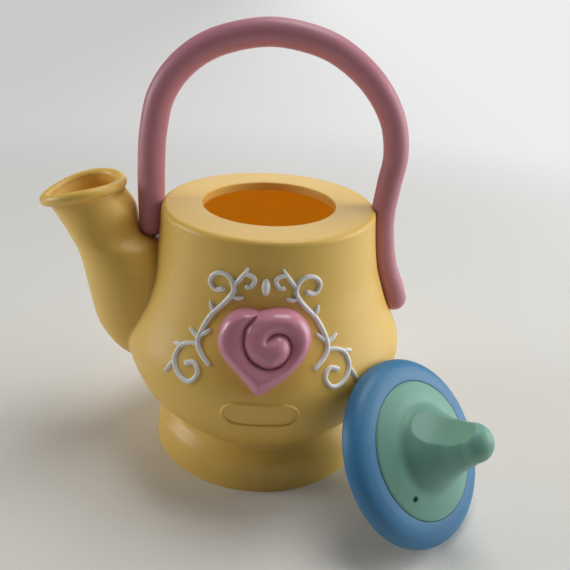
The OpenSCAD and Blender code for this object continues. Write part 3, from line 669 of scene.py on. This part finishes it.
# Lines as (points, ways out, shares) become one mesh of sweeps, of a width across and a height each way out
def swept(name, lines, material, width, height, sides, closed=False):
    points = []
    edges = []
    ways = []
    shares = []
    for spots, wayOut, share in lines:
        first = len(points)
        points += (spots * mm).tolist()
        ways += wayOut.tolist()
        shares += share.tolist()
        edges += [(first + i, first + i + 1) for i in range(len(spots) - 1)]
        if closed:
            edges.append((first + len(spots) - 1, first))
    mesh = bpy.data.meshes.new(name)
    mesh.from_pydata(points, edges, [])
    mesh.attributes.new("wayOut", "FLOAT_VECTOR", "POINT").data.foreach_set("vector", np.ravel(ways))
    mesh.attributes.new("share", "FLOAT", "POINT").data.foreach_set("value", shares)
    obj = newObject(name, mesh)
    tree = sweepTree(material)
    grow = obj.modifiers.new("sweep", "NODES")
    grow.node_group = tree
    values = {"Section Width": width * mm, "Section Height": height * mm, "Sides": sides}
    for item in tree.interface.items_tree:
        if item.in_out == "INPUT" and item.name in values:
            grow[item.identifier] = values[item.name]
    bakeModifiers(obj)
    faceOutward(obj)
    return obj


# Lines over the side, as (distance, height, share) points, become beads
def beadsAlong(name, lines, material, size=1.0, closed=False):
    strands = []
    for line in lines:
        on = onSide(line[:, 0], line[:, 1])
        strands.append((on, onSide(line[:, 0], line[:, 1], 1.0) - on, line[:, 2]))
    width = scrolls["beadWidth"] * size
    return swept(name, strands, material, width, scrolls["beadHeight"] * size, scrolls["beadSides"], closed)


# A strand given in shares, with round ends
def strand(share, mirror):
    line = smoothLine(share, scrolls["steps"])
    line = np.stack([mirror * line[:, 0] * scrolls["reach"], scrolls["low"] + line[:, 1] * scrolls["height"],
                     line[:, 2]], axis=1)
    d = headings(line[:, :2])
    half = scrolls["beadWidth"] / 2
    turns = np.radians(scrolls["capTurns"])
    caps = []
    for point, way, width in ((line[0], -d[0], line[0, 2]), (line[-1], d[-1], line[-1, 2])):
        caps.append([[*(point[:2] + way * half * width * math.sin(t)), width * math.cos(t)] for t in turns])
    return np.vstack([caps[0][::-1], line, caps[1]])


def dropLine():
    across, low, high, width = scrolls["drop"]
    n = scrolls["dropPoints"]
    t = np.cos(np.radians(np.linspace(180 - scrolls["dropEnd"], scrolls["dropEnd"], n)))
    rise = scrolls["low"] + scrolls["height"] * ((high + low) / 2 + t * (high - low) / 2)
    share = width * np.sqrt(1 - t ** 2)
    return np.stack([np.full(n, across * scrolls["reach"]), rise, share], axis=1)


def plateLine():
    n = plate["turnSteps"]
    r = plate["heightShare"] * scrolls["height"]
    half = plate["widthShare"] * scrolls["reach"] - r
    flat = [(t * half, -r) for t in np.linspace(-1, 1, plate["flatPoints"])]
    turn = [(half + r * math.sin(math.pi * k / n), -r * math.cos(math.pi * k / n)) for k in range(1, n)]
    ring = np.array(flat + turn + [(-x, -z) for x, z in flat + turn])
    return np.stack([ring[:, 0], ring[:, 1] + plate["middleShare"] * pot["height"],
                     np.ones(len(ring))], axis=1)


# Pot shells

def potCavity():
    inner = beside(bellyLine, pot["wall"])
    inner = inner[(inner[:, 1] > floorTop) & (inner[:, 1] < deckUnder)]
    top = pot["height"]
    past = top + cutter["overrun"]
    r = pot["openingRadius"]
    e = pot["openingRound"]
    outline = np.vstack([[(0, floorTop), (inner[0, 0], floorTop)], inner,
                         [(sideRadius - pot["wall"], deckUnder), (lipRadius, deckUnder),
                          (lipRadius, top - pot["lipDepth"]), (r, top - pot["lipDepth"])],
                         arc((r + e, top - e), e, 180, 90, steps=6), [(r + e, past), (0, past)]])
    return turned("potCavity", outline, pot["segments"])


def footCavity():
    inner = beside(footLine, pot["wall"])
    inner = inner[(inner[:, 1] > 0) & (inner[:, 1] < floorBottom)]
    below = -cutter["overrun"]
    outline = np.vstack([[(0, below), (pot["footRadius"] - pot["wall"], below)], inner,
                         [(pot["neckRadius"] - pot["wall"], floorBottom), (0, floorBottom)]])
    return turned("footCavity", outline, pot["segments"])


def spoutCavity():
    raised = spoutLine.copy()
    raised[:, 1] += raised[:, 6]
    past = raised[-1].copy()
    past[0] += 2 * spout["rimRadius"] * math.sin(past[2])
    past[1] += 2 * spout["rimRadius"] * math.cos(past[2])
    rings = [oval(q, pot["wall"], spout["sides"]) for q in [*raised, past]]
    return lofted("spoutCavity", rings)


# The fillet's width at each point's height
def filletWidth(p):
    width = np.interp(p[:, 2], [spout["blendFrom"], spout["blendTo"]], [spout["blend"], spout["blendHigh"]])
    return np.where(p[:, 2] > spout["blendTop"], 0, width)


def makeOutside():
    outside = turned("outside", np.vstack([[(0, 0)], sideLine, [(0, pot["height"])]]), pot["segments"])
    tubeSkin = lofted("tubeSkin", [oval(q, 0, spout["sides"]) for q in spoutLine])
    combine(outside, tubeSkin, "UNION")
    softenCrease(outside, potDistance, spoutDistance, filletWidth)
    mouth = oval(spoutLine[-1], 0, spout["rimSteps"])
    combine(outside, roundRing("rim", mouth, spout["rimRadius"], spout["rimSides"]), "UNION")
    print("outside joined")
    return outside


def hollowOut(outside):
    cavity = potCavity()
    combine(cavity, footCavity(), "UNION")
    combine(cavity, spoutCavity(), "UNION")
    reach = cutter["boss"]
    for x, z in screwPlaces():
        combine(cavity, rod("boss", (x, -reach, z), (x, reach, z), screws["bossRadius"]), "DIFFERENCE")
    for part in (leftEnd, rightEnd):
        combine(cavity, handleBar("socket", pot["wall"], part), "DIFFERENCE")
    combine(outside, cavity, "DIFFERENCE")
    for part in (leftEnd, rightEnd):
        combine(outside, handleBar("groove", handle["gap"], part), "DIFFERENCE")
    for peg, head in handlePegs(handle["pegClearance"]):
        combine(outside, peg, "DIFFERENCE")
        combine(outside, head, "DIFFERENCE")
    print("hollows cut")


# Parts the pot at its seam, and drills the rear's wells and both halves' pilot holes
def splitShells(whole):
    gap = pot["seamGap"]
    side, low, high, past = (cutter[key] for key in ("side", "low", "high", "overrun"))
    rear = newObject("rearShell", whole.data.copy())
    front = whole
    front.name = "frontShell"
    combine(front, block("half", (-side, -side, low), (side, -gap, high)), "INTERSECT")
    combine(rear, block("half", (-side, gap, low), (side, side, high)), "INTERSECT")
    s = screws
    well = s["headRadius"] + s["wellClearance"]
    pilot = s["radius"] + s["pilotClearance"]
    tip = s["seat"] - s["length"]
    for x, z in screwPlaces():
        combine(rear, rod("well", (x, s["seat"], z), (x, cutter["well"], z), well), "DIFFERENCE")
        combine(rear, rod("pilot", (x, -past, z), (x, s["seat"] + past, z), pilot), "DIFFERENCE")
        combine(front, rod("pilot", (x, past, z), (x, tip - past, z), pilot), "DIFFERENCE")
    return front, rear


# Margins at the lip, the opening and the screws' wells, which keep the outer material
inside = {"edge": 0.1, "lip": 1.0, "well": 0.3}


# The faces inside the walls get the second material, painted with the deeper orange and glow of light
# bounced inside the yellow walls
def paintInside(obj):
    obj.data.materials.clear()
    obj.data.materials.append(yellowShell)
    obj.data.materials.append(paintedInsideGlow)
    mesh = obj.data
    centres = np.zeros(len(mesh.polygons) * 3)
    mesh.polygons.foreach_get("center", centres)
    p = centres.reshape(-1, 3) / mm
    r = np.hypot(p[:, 0], p[:, 1])
    within = potDistance(p) < -pot["wall"] / 2
    nearLip = r < pot["openingRadius"] + inside["lip"]
    lip = (p[:, 2] > pot["height"] - pot["lipDepth"] - inside["edge"]) & nearLip
    deck = (p[:, 2] > deckUnder + inside["edge"]) & ~nearLip
    foot = p[:, 2] < pot["neckHeight"]
    well = np.zeros(len(p), bool)
    for x, z in screwPlaces():
        well |= np.hypot(p[:, 0] - x, p[:, 2] - z) < screws["headRadius"] + inside["well"]
    mesh.polygons.foreach_set("material_index", (within & ~lip & ~deck & ~foot & ~well).astype(int))


potWhole = makeOutside()
hollowOut(potWhole)
frontShell, rearShell = splitShells(potWhole)
for shell, node in ((frontShell, "front_shell"), (rearShell, "rear_shell")):
    paintInside(shell)
    finishPiece(shell, "pot", [node])

plateBead = beadsAlong("plateBead", [plateLine()], yellowShell, plate["beadShare"], closed=True)
finishPiece(plateBead, "pot", [], yellowShell, angle=60)

# Handle

gripLine = roundEnds(handleLine)
across = np.tile([0.0, 1.0, 0.0], (len(gripLine), 1))
grip = swept("grip", [(gripLine[:, :3], across, gripLine[:, 3] / handle["radius"])], pinkGrip,
             2 * handle["radius"], handle["radius"], handle["sides"])
parts = [grip]
for peg, head in handlePegs(0):
    parts += [peg, head]
finishPiece(joined("handleGrip", parts), "pot", ["handle"], pinkGrip)

# Scrolls

for name, node, mirror in (("scrollLeft", "scroll_left", -1), ("scrollRight", "scroll_right", 1)):
    shares = [scrolls[key] for key in ("stem", "lowerCurl", "bud", "smallCurl")] + scrolls["leaves"]
    vine = beadsAlong(name, [strand(share, mirror) for share in shares], whitePaint)
    finishPiece(vine, "pot", [node], whitePaint, angle=60)
scrollDrop = beadsAlong("scrollDrop", [dropLine()], whitePaint)
finishPiece(scrollDrop, "pot", ["scroll_drop"], whitePaint, angle=60)

# Heart: a puffy heart with one groove, which winds in from its notch and ends beside a round bud

heart = {
    "width": 37.4, "height": 33.4, "middle": 78.3, "bulge": 7.6, "edgeRadius": 5.5, "sink": 0.25,
    "budBulge": 1.8, "budReach": 7.0, "budShare": (0.28, 0.0),
    # the groove: its floor's share of the height, softness, the part of its length over which it fades,
    # how far it narrows there, and how softly its walls meet the edge
    "grooveFloor": 0.56, "grooveSoft": 0.35, "fade": 0.12, "fadeNarrow": 0.4, "meet": 0.06,
    "rings": 80, "backRings": 14, "backStart": 0.02, "ringPower": 1.5, "steps": 14, "grooveSteps": 10,
    "pegShare": (-0.5, 0.5), "pegRadius": 2.0, "pegBack": 0.3, "pegEndShare": 2.0,
    # the pegs' heads: start in walls, height, and radius in peg radii
    "pegHead": (1.3, 1.3, 1.6),
    # from the notch down the left to the tip, and up the right: across as a share of the half width, and
    # up as a share of the height from the middle
    "leftShare": [(-0.096, 0.452), (-0.20, 0.467), (-0.45, 0.470), (-0.67, 0.416), (-0.84, 0.320),
                  (-0.945, 0.195), (-0.97, 0.066), (-0.93, -0.054), (-0.80, -0.159), (-0.505, -0.302),
                  (-0.22, -0.446), (-0.10, -0.503)],
    "rightShare": [(-0.05, -0.505), (0.155, -0.452), (0.41, -0.362), (0.665, -0.260), (0.865, -0.144),
                   (1, -0.015), (1.035, 0.123), (0.985, 0.254), (0.83, 0.383), (0.575, 0.476),
                   (0.285, 0.497), (0.025, 0.473), (-0.096, 0.452)],
    "grooveShare": [(-0.096, 0.452), (-0.20, 0.370), (-0.34, 0.263), (-0.385, 0.135), (-0.36, 0.012),
                    (-0.245, -0.099), (-0.06, -0.171), (0.15, -0.198), (0.365, -0.162), (0.525, -0.069),
                    (0.565, 0.054), (0.465, 0.174), (0.28, 0.210), (0.12, 0.162), (0.035, 0.081)],
}


def heartSize(share):
    return np.array(share, float) * [heart["width"] / 2, heart["height"]]


# Distance of each point from a line, and how far along the line its nearest place is
def offLine(points, line):
    a = line[:-1]
    d = line[1:] - a
    best = np.full(len(points), 1e9)
    along = np.zeros(len(points))
    for i in range(len(a)):
        t = np.clip((points - a[i]) @ d[i] / (d[i] @ d[i]), 0, 1)
        gap = np.linalg.norm(points - a[i] - t[:, None] * d[i], axis=1)
        nearer = gap < best
        best[nearer] = gap[nearer]
        along[nearer] = (i + t[nearer]) / len(a)
    return best, along


def quarter(t):
    return np.sqrt(1 - (1 - np.clip(t, 0, 1)) ** 2)


def heartHeight(points, outline, groove):
    h = heart
    edge = quarter(offLine(points, outline)[0] / h["edgeRadius"])
    gap, along = offLine(points, groove)
    gap = np.sqrt(gap ** 2 + h["grooveSoft"] ** 2) - h["grooveSoft"]
    # the groove grows shallow and narrow where it ends beside the bud
    fade = np.clip((along - 1 + h["fade"]) / h["fade"], 0, 1)
    floor = h["grooveFloor"] + (1 - h["grooveFloor"]) * fade ** 2
    dip = floor + (1 - floor) * quarter(gap / (h["edgeRadius"] * (1 - h["fadeNarrow"] * fade)))
    blend = np.clip(0.5 + (dip - edge) / (2 * h["meet"]), 0, 1)
    share = dip * (1 - blend) + edge * blend - h["meet"] * blend * (1 - blend)
    bud = np.linalg.norm(points - heartSize(h["budShare"]), axis=1)
    return (h["bulge"] + h["budBulge"] * np.exp(-(bud / h["budReach"]) ** 2)) * np.maximum(share, 0)


def makeHeart():
    h = heart
    left = smoothLine(heartSize(h["leftShare"]), h["steps"])
    right = smoothLine(heartSize(h["rightShare"]), h["steps"])
    outline = np.vstack([left, right[:-1]])
    closed = np.vstack([outline, outline[:1]])
    groove = smoothLine(heartSize(h["grooveShare"]), h["grooveSteps"])
    rings = []
    for t in np.linspace(h["backStart"], 1, h["backRings"]):
        p = t * outline
        rings.append(onSide(p[:, 0], h["middle"] + p[:, 1], -h["sink"]))
    for t in (np.arange(h["rings"]) / h["rings"]) ** h["ringPower"]:
        p = (1 - t) * outline
        rise = heartHeight(p, closed, groove) if t > 0 else 0
        rings.append(onSide(p[:, 0], h["middle"] + p[:, 1], rise))
    parts = [lofted("heartBody", rings)]
    r = h["pegRadius"]
    z = h["middle"]
    headStart, headHeight, headShare = h["pegHead"]
    for share in h["pegShare"]:
        x = share * h["width"] / 2
        y = -math.sqrt(sideAt(z) ** 2 - x ** 2)
        seat = y + headStart * pot["wall"]
        parts.append(rod("peg", (x, y - h["pegBack"], z), (x, y + h["pegEndShare"] * pot["wall"], z), r))
        parts.append(rod("pegHead", (x, seat, z), (x, seat + headHeight, z), headShare * r))
    return joined("heartRelief", parts)


finishPiece(makeHeart(), "pot", ["heart"], pinkGloss, angle=60)

# Lid

lid = {
    "radius": 40.0, "edgeRadius": 1.5, "collarDepth": 4.2, "collarGap": 0.6, "bedRound": 0.35,
    # how it stands: its lean and its place round the pot in degrees, and its gap to the belly
    "lean": 36.8, "side": -42.4, "standGap": 0.3, "standSteps": 61,
    "footRadius": 29.1, "footHeight": 7.6, "footProud": 0.25, "footRound": 0.4, "footGap": 0.1,
    "knobHeight": 40.8, "knobRadius": 8.1, "segments": 200,
    # the finger scoop: its depth as a distance from the middle line, its place, and its arcs in knob radii
    "scoopOut": 6.1, "scoopTurn": 25.0, "scoopHeightShare": 0.883, "scoopRadiusShare": 3.35,
    "scoopEndShare": 0.83, "scoopReach": 60.0, "softCell": 0.35, "softRounds": 4,
    "steamRadius": 1.2, "steamShare": 0.80, "steamTurn": -58.0, "steamDepth": 1.5, "steamTop": 20.0,
    "rollShare": [(0, 0), (0.03, 0.28), (0.14, 0.58), (0.34, 0.81), (0.6, 0.94), (0.8, 0.985), (1, 1)],
    "knobShare": [(1, 0), (0.93, 0.035), (0.80, 0.095), (0.69, 0.135), (0.64, 0.165), (0.605, 0.215),
                  (0.567, 0.295), (0.50, 0.414), (0.44, 0.534), (0.381, 0.653), (0.347, 0.773),
                  (0.32, 0.88)],
}
webTop = lid["footHeight"] - pot["wall"]


def lidPlace():
    ring = lid["radius"] - lid["edgeRadius"]
    lean = math.radians(lid["lean"])
    side = math.radians(lid["side"])
    z = ring * math.cos(lean) + lid["edgeRadius"]
    top = z + ring * math.cos(lean)
    reach = lid["edgeRadius"] + lid["standGap"]
    heights = np.linspace(top - reach, top + reach, lid["standSteps"])
    out = (sideAt(heights) + np.sqrt(np.maximum(reach ** 2 - (heights - top) ** 2, 0))).max()
    out += ring * math.sin(lean)
    spot = Vector((out * math.cos(side), out * math.sin(side), z)) * mm
    return Matrix.Translation(spot) @ Matrix.Rotation(side, 4, "Z") @ Matrix.Rotation(
        math.radians(90) - lean, 4, "Y")


def makeLidRing():
    collar = pot["openingRadius"] - lid["collarGap"]
    e = lid["edgeRadius"]
    ring = lid["radius"] - e
    foot = lid["footRadius"] + lid["footGap"]
    bed = lid["bedRound"]
    roll = smoothLine([(lid["radius"] + a * (foot - lid["radius"]), b * lid["footHeight"])
                       for a, b in lid["rollShare"]], steps=8)
    w = pot["wall"]
    under = [(collar + w, -e), (collar + w, webTop - w / 2), (ring - 2 * w, webTop - w / 2),
             (ring - w, 0), (ring - w, -e)]
    edge = arc((ring, 0), e, -90, 0, steps=6)[:-1]
    # a rounded edge takes the place of the roll's last points
    outline = np.vstack([[(0, webTop - w), (collar - w, webTop - w), (collar - w, -e - lid["collarDepth"]),
                          (collar, -e - lid["collarDepth"])], under, edge, roll[:-4],
                         arc((foot + bed, lid["footHeight"] - bed), bed, 90, 180, steps=5),
                         [(foot, webTop), (0, webTop)]])
    return turned("lidRing", outline, lid["segments"])


def makeKnob():
    k = lid["knobRadius"]
    r = lid["footRadius"]
    h = lid["footHeight"] + lid["footProud"]
    ball = lid["knobHeight"] - k
    side = smoothLine([(a * r, h + b * (ball - h)) for a, b in lid["knobShare"]] + [(k, ball)], steps=6)
    low = webTop + lid["footGap"]
    e = lid["footRound"]
    # a rounded edge takes the place of the side's first points
    outline = np.vstack([[(0, low), (r, low)], arc((r - e, h - e), e, 0, 60, steps=4), side[3:],
                         arc((0, ball), k, 0, 89, steps=24), [(0, lid["knobHeight"])]])
    knob = turned("lidKnob", outline, lid["segments"])
    deep = lid["scoopOut"]
    big = lid["scoopRadiusShare"] * k
    small = lid["scoopEndShare"] * k
    z = lid["scoopHeightShare"] * lid["knobHeight"]
    lower = arc((deep + big, z), big, 270, 180, steps=40)
    upper = arc((deep + small, z), small, 180, 90, steps=20)
    profile = np.vstack([lower, upper[1:], [(lid["scoopReach"], z + small), (lid["scoopReach"], z - big)]])
    a = math.radians(lid["scoopTurn"])
    away = np.array([-math.cos(a), -math.sin(a), 0])
    along = np.array([-away[1], away[0], 0])
    rings = [[away * x + along * y + np.array([0, 0, height]) for x, height in profile] for y in (-r, r)]
    combine(knob, lofted("scoop", rings), "DIFFERENCE")
    melt(knob, lid["softCell"], lid["softRounds"])
    a = math.radians(lid["steamTurn"])
    x = lid["steamShare"] * r * math.cos(a)
    y = lid["steamShare"] * r * math.sin(a)
    floor = webTop + lid["steamDepth"]
    combine(knob, rod("steam", (x, y, floor), (x, y, lid["steamTop"]), lid["steamRadius"]), "DIFFERENCE")
    return knob


place = lidPlace()
for piece, slot, node, material in ((makeLidRing(), "blue_lid", "lid_disc", blueRing),
                                    (makeKnob(), "green_knob", "lid_knob", sageKnob)):
    piece.data.transform(place)
    finishPiece(piece, "lid", [node], material)

# Screws keep their solids

for name in ("shell_screws", "lid_screw"):
    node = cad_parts[name]
    node.data.materials.clear()
    node.data.materials.append(screwSteel)

# Floor, light and camera, with places in metres

studio = {
    "floor": 30.0, "floorColour": (0.79, 0.78, 0.74), "floorRoughness": 0.55,
    "grainScale": 700.0, "grainStrength": 0.12, "grainDepth": 0.0003,
    # the span of distances over which the floor turns pale, and the pale tone from left to right: painted
    # shade on the left, painted light on the right
    "paleAway": (0.2, 0.75), "paleAcross": (-0.5, 0.45),
    "paleShadedLeft": (0.60, 0.595, 0.59), "paleLitRight": (0.85, 0.85, 0.85),
    # the room's light: the way it comes from, over which span it rises, how strong, and how it is seen
    "roomWay": (1.0, 0.0, 0.25), "roomSpan": (0.0, 0.95), "roomLight": (0.02, 0.30), "roomSeen": 0.80,
    "lightTarget": (0, 0, 0.06),
}
# Place, size and power of each lamp
lights = {
    "topLight": ((0.15, 0.15, 0.85), 0.5, 3.25),
    "rightWindow": ((0.80, 0.05, 0.20), 0.8, 3.6),
    "rightLamp": ((0.76, 0.16, 0.36), 0.5, 0.9),
    "leftWindow": ((-0.80, 0.0, 0.30), 0.4, 2.7),
    "backLamp": ((0.0, 0.75, 0.45), 0.5, 0.86),
}


# Floor of pale leatherette; what the camera sees of it grows pale and free of grain away from the pot, as a
# glow with painted shade to the left and painted light to the right
def makeFloor():
    half = studio["floor"] / mm / 2
    floor = makeObject("floor", [(-half, -half, 0), (half, -half, 0), (half, half, 0), (-half, half, 0)],
                       [(0, 1, 2, 3)])
    material, nodes, links, skin = newMaterial("paleFloor")
    skin.inputs["Base Color"].default_value = (*studio["floorColour"], 1)
    skin.inputs["Roughness"].default_value = studio["floorRoughness"]
    place = nodes.new("ShaderNodeTexCoord").outputs["Object"]
    grain = nodes.new("ShaderNodeTexVoronoi")
    grain.inputs["Scale"].default_value = studio["grainScale"]
    links.new(place, grain.inputs["Vector"])
    relief = bumped(nodes, links, grain.outputs["Distance"], studio["grainStrength"], studio["grainDepth"])
    links.new(relief, skin.inputs["Normal"])
    away = nodes.new("ShaderNodeVectorMath")
    away.operation = "LENGTH"
    links.new(place, away.inputs[0])
    far = spanned(nodes, links, away.outputs["Value"], studio["paleAway"], (0, 1), "SMOOTHSTEP")
    split = nodes.new("ShaderNodeSeparateXYZ")
    links.new(place, split.inputs["Vector"])
    # the pale tone goes from painted shade on the left to painted light on the right
    aside = spanned(nodes, links, split.outputs["X"], studio["paleAcross"], (0, 1), "SMOOTHSTEP")
    pale = nodes.new("ShaderNodeEmission")
    tone = tinted(nodes, links, aside, studio["paleShadedLeft"], studio["paleLitRight"])
    links.new(tone, pale.inputs["Color"])
    path = nodes.new("ShaderNodeLightPath")
    seen = nodes.new("ShaderNodeMath")
    seen.operation = "MULTIPLY"
    links.new(path.outputs["Is Camera Ray"], seen.inputs[0])
    links.new(far, seen.inputs[1])
    mix = nodes.new("ShaderNodeMixShader")
    links.new(seen.outputs["Value"], mix.inputs["Fac"])
    links.new(skin.outputs["BSDF"], mix.inputs[1])
    links.new(pale.outputs["Emission"], mix.inputs[2])
    links.new(mix.outputs["Shader"], nodes["Material Output"].inputs["Surface"])
    floor.data.materials.append(material)


def makeLight(name, place, size, power):
    lamp = bpy.data.lights.new(name, "AREA")
    lamp.shape = "DISK"
    lamp.size = size
    lamp.energy = power
    obj = newObject(name, lamp)
    obj.location = place
    obj.rotation_mode = "QUATERNION"
    obj.rotation_quaternion = (Vector(studio["lightTarget"]) - Vector(place)).to_track_quat("-Z", "Y")


# Soft room light from the right; the camera sees the room as one pale tone
def makeWorld():
    world = bpy.data.worlds.new("softRoom")
    scene.world = world
    world.use_nodes = True
    nodes = world.node_tree.nodes
    links = world.node_tree.links
    sky = nodes["Background"]
    sky.inputs["Color"].default_value = (1, 1, 1, 1)
    place = nodes.new("ShaderNodeTexCoord")
    toward = nodes.new("ShaderNodeVectorMath")
    toward.operation = "DOT_PRODUCT"
    toward.inputs[1].default_value = Vector(studio["roomWay"]).normalized()
    links.new(place.outputs["Generated"], toward.inputs[0])
    light = spanned(nodes, links, toward.outputs["Value"], studio["roomSpan"], studio["roomLight"],
                    "SMOOTHSTEP")
    path = nodes.new("ShaderNodeLightPath")
    tone = nodes.new("ShaderNodeMix")
    tone.inputs["B"].default_value = studio["roomSeen"]
    links.new(path.outputs["Is Camera Ray"], tone.inputs["Factor"])
    links.new(light, tone.inputs["A"])
    links.new(tone.outputs["Result"], sky.inputs["Strength"])


# The photo's view: places in millimetres, roll in degrees, and the nearest and farthest it sees in metres
view = {
    "place": (1.5, -287.4, 219.2), "target": (9.16, 0.0, 80.24), "roll": 3.12, "lens": 42.0, "sensor": 36.0,
    "near": 0.01, "far": 20.0,
}


def makeCamera():
    camera = bpy.data.cameras.new("photoView")
    camera.lens = view["lens"]
    camera.sensor_width = view["sensor"]
    camera.clip_start = view["near"]
    camera.clip_end = view["far"]
    place = Vector(view["place"]) * mm
    forward = (Vector(view["target"]) * mm - place).normalized()
    right = forward.cross(Vector((0, 0, 1))).normalized()
    up = right.cross(forward)
    roll = math.radians(view["roll"])
    acrossFrame = math.cos(roll) * right + math.sin(roll) * up
    upFrame = -math.sin(roll) * right + math.cos(roll) * up
    turn = Matrix((acrossFrame, upFrame, -forward)).transposed()
    scene.camera = newObject("photoView", camera)
    scene.camera.matrix_world = Matrix.Translation(place) @ turn.to_4x4()


makeFloor()
makeWorld()
for name, (place, size, power) in lights.items():
    makeLight(name, place, size, power)
makeCamera()
scene.view_settings.view_transform = "Standard"
print("stage set")
